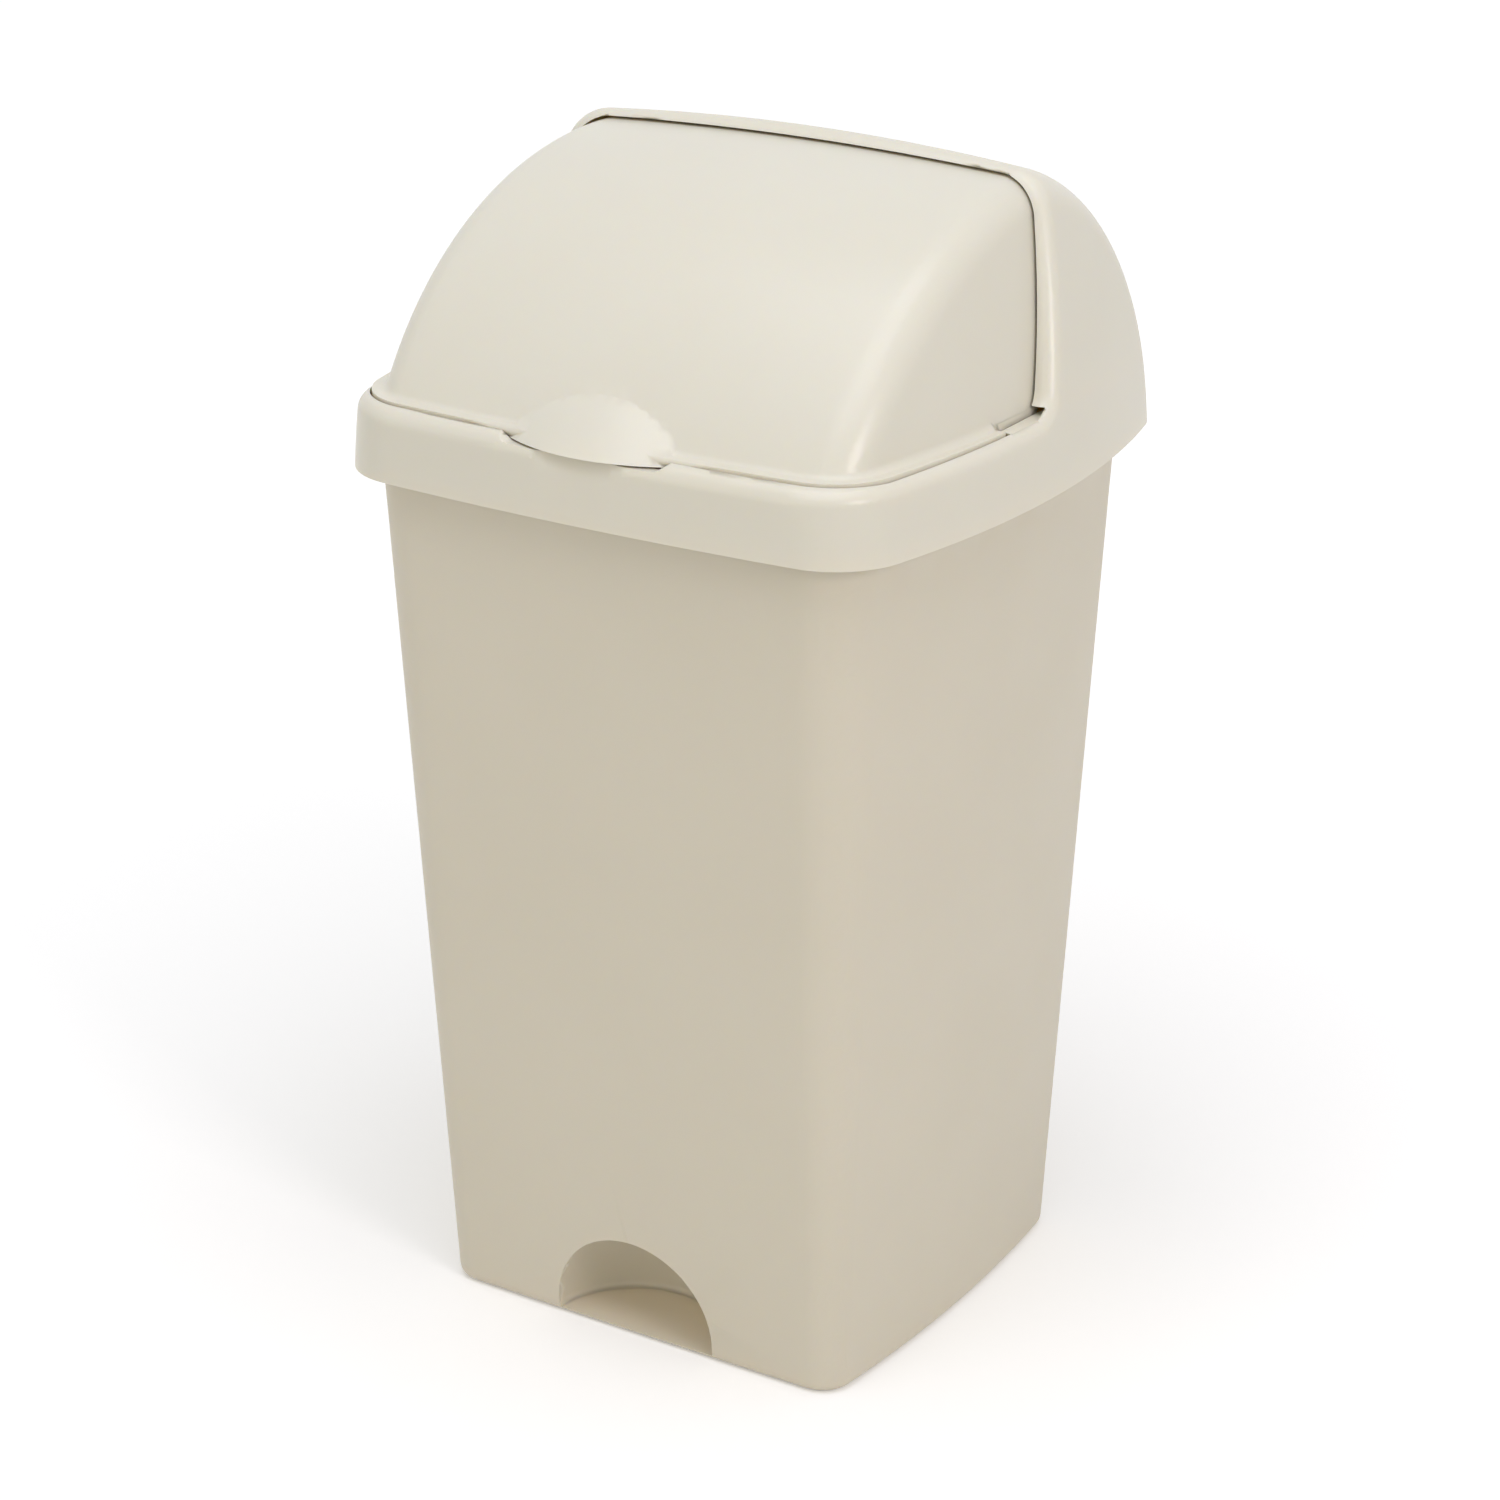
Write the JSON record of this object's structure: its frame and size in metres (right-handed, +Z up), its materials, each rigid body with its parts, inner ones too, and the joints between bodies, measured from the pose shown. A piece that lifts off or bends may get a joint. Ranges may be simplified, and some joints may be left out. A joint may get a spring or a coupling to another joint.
{
  "type": "roll-top trash can",
  "caption": "Tall tapered kitchen bin with a lift-off lid whose curved cover rolls back into the hood, a front thumb grip and a foot pocket.",
  "frame": {"origin": "centre of the bin's base at floor level", "axes": "+X to the right of someone who faces the front, +Y to the back, +Z up; the grip and the foot pocket face -Y"},
  "size_m": [0.3754, 0.3541, 0.6789],
  "materials": {
    "bin_plastic": "cream polypropylene with a fine satin grain",
    "lid_plastic": "cream polypropylene, smooth satin"
  },
  "bodies": {
    "bin": {"bin_body": "bin_plastic"},
    "lid": {"lid_frame": "lid_plastic"},
    "cover": {"roll_cover": "lid_plastic"}
  },
  "joints": [
    {"name": "lid_lift", "type": "slide", "parent": "bin", "child": "lid", "axis": [0, 0, 1], "range_m": [0, 0.12]},
    {"name": "cover_roll", "type": "hinge", "parent": "lid", "child": "cover", "pos_m": [0, -0.01, 0.538], "axis": [-1, 0, 0], "range_deg": [0, 83]}
  ]
}
